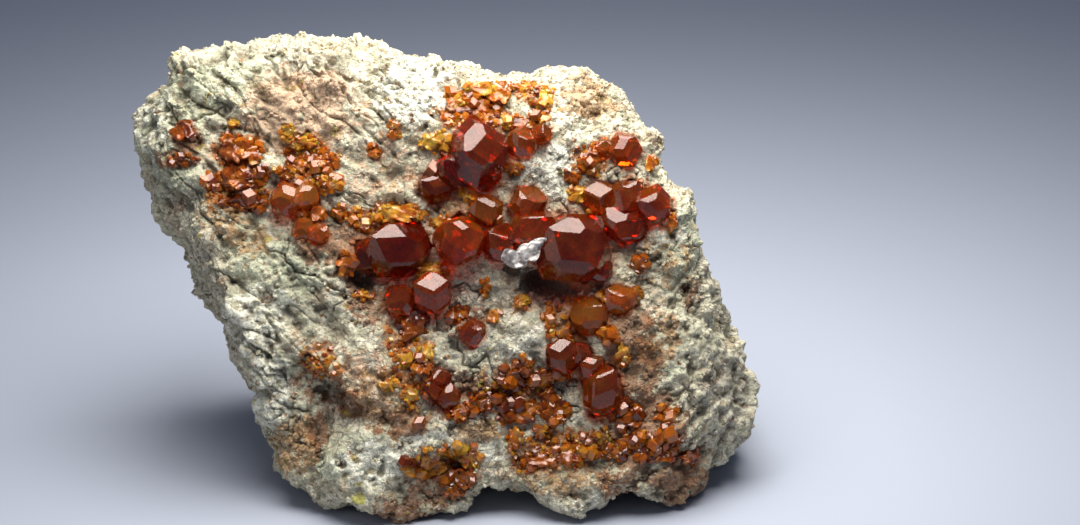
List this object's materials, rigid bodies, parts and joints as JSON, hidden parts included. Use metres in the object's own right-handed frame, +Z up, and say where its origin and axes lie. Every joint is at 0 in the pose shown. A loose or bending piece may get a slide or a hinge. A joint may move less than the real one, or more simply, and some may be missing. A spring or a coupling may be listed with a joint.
{
  "type": "garnet in matrix",
  "caption": "Leaning block of pale green granular rock standing on its flat foot, with a band and clusters of orange to deep red garnet crystals and crusts on its sloping front.",
  "frame": {"origin": "middle of the flat foot on the underside, where the block rests", "axes": "+Z up; the crystal face looks towards -Y and leans back by 24 degrees; +X to the right as the crystal face is looked at"},
  "size_m": [0.0909, 0.0463, 0.0623],
  "materials": {
    "matrix_stone": "rough granular broken rock, pale greenish white with tan, pink and brown stains",
    "red_garnet": "clear deep red to orange crystal with glassy flat faces",
    "orange_garnet": "clear orange to brown crust of small glassy crystals",
    "white_mineral": "white jagged flake, slightly glossy"
  },
  "bodies": {
    "root": {"garnet_band_right": "red_garnet", "garnet_band_middle": "red_garnet", "garnet_band_left": "red_garnet", "garnet_cluster_right": "red_garnet", "garnet_upper_large": "red_garnet", "garnet_upper_brown": "red_garnet", "garnet_right_upper": "red_garnet", "garnet_left_pair": "red_garnet", "garnet_left_low": "red_garnet", "garnet_below_band": "red_garnet", "garnet_mid_small": "red_garnet", "garnet_mid_low": "red_garnet", "garnet_low_flat": "red_garnet", "garnet_low_facet": "red_garnet", "garnet_low_large": "red_garnet", "druse_left_ring": "orange_garnet", "druse_left_middle": "orange_garnet", "druse_left_gold": "orange_garnet", "druse_upper_gold": "orange_garnet", "druse_upper_lumps": "orange_garnet", "druse_top_ring": "orange_garnet", "druse_right_gold": "orange_garnet", "druse_mid_column": "orange_garnet", "druse_mid_low": "orange_garnet", "druse_mid_right": "orange_garnet", "druse_hollow": "orange_garnet", "druse_low_left": "orange_garnet", "druse_low_right": "orange_garnet", "white_flake": "white_mineral", "matrix": "matrix_stone"}
  },
  "joints": []
}
